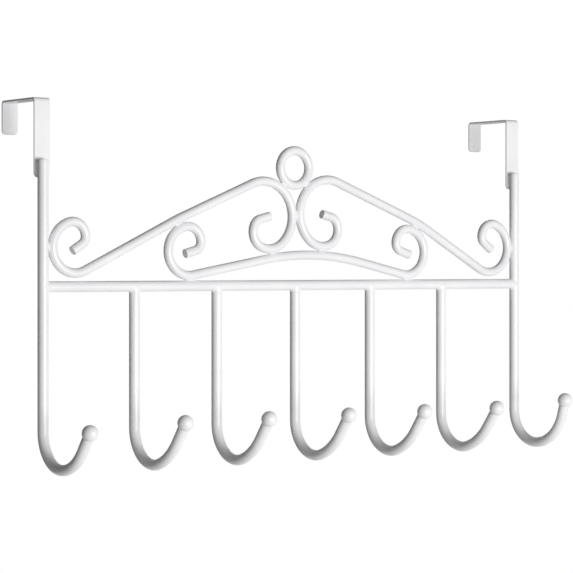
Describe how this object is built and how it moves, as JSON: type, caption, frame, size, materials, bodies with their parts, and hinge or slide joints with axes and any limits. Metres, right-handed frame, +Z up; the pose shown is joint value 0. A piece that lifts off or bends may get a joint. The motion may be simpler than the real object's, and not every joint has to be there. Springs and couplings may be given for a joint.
{
  "type": "over-the-door hook rack",
  "caption": "White over-the-door hook rack: folded door straps, round uprights and crossbar, ball-tipped hooks, and bent wire scrollwork with a ring on top.",
  "frame": {"origin": "halfway between the uprights, on the front top edge of the door that holds the rack", "axes": "+Z up, +X to the right as seen from the room, +Y through the door, away from the room"},
  "size_m": [0.4636, 0.1291, 0.2715],
  "materials": {
    "white_powder_coat": "glossy white powder coat on steel"
  },
  "bodies": {
    "root": {"left_door_strap": "white_powder_coat", "right_door_strap": "white_powder_coat", "left_upright": "white_powder_coat", "left_upright_ball": "white_powder_coat", "right_upright": "white_powder_coat", "right_upright_ball": "white_powder_coat", "crossbar": "white_powder_coat", "hook_1": "white_powder_coat", "hook_1_ball": "white_powder_coat", "hook_2": "white_powder_coat", "hook_2_ball": "white_powder_coat", "hook_3": "white_powder_coat", "hook_3_ball": "white_powder_coat", "hook_4": "white_powder_coat", "hook_4_ball": "white_powder_coat", "hook_5": "white_powder_coat", "hook_5_ball": "white_powder_coat", "arch_scroll": "white_powder_coat", "left_scroll": "white_powder_coat", "right_scroll": "white_powder_coat", "top_ring": "white_powder_coat"}
  },
  "joints": []
}
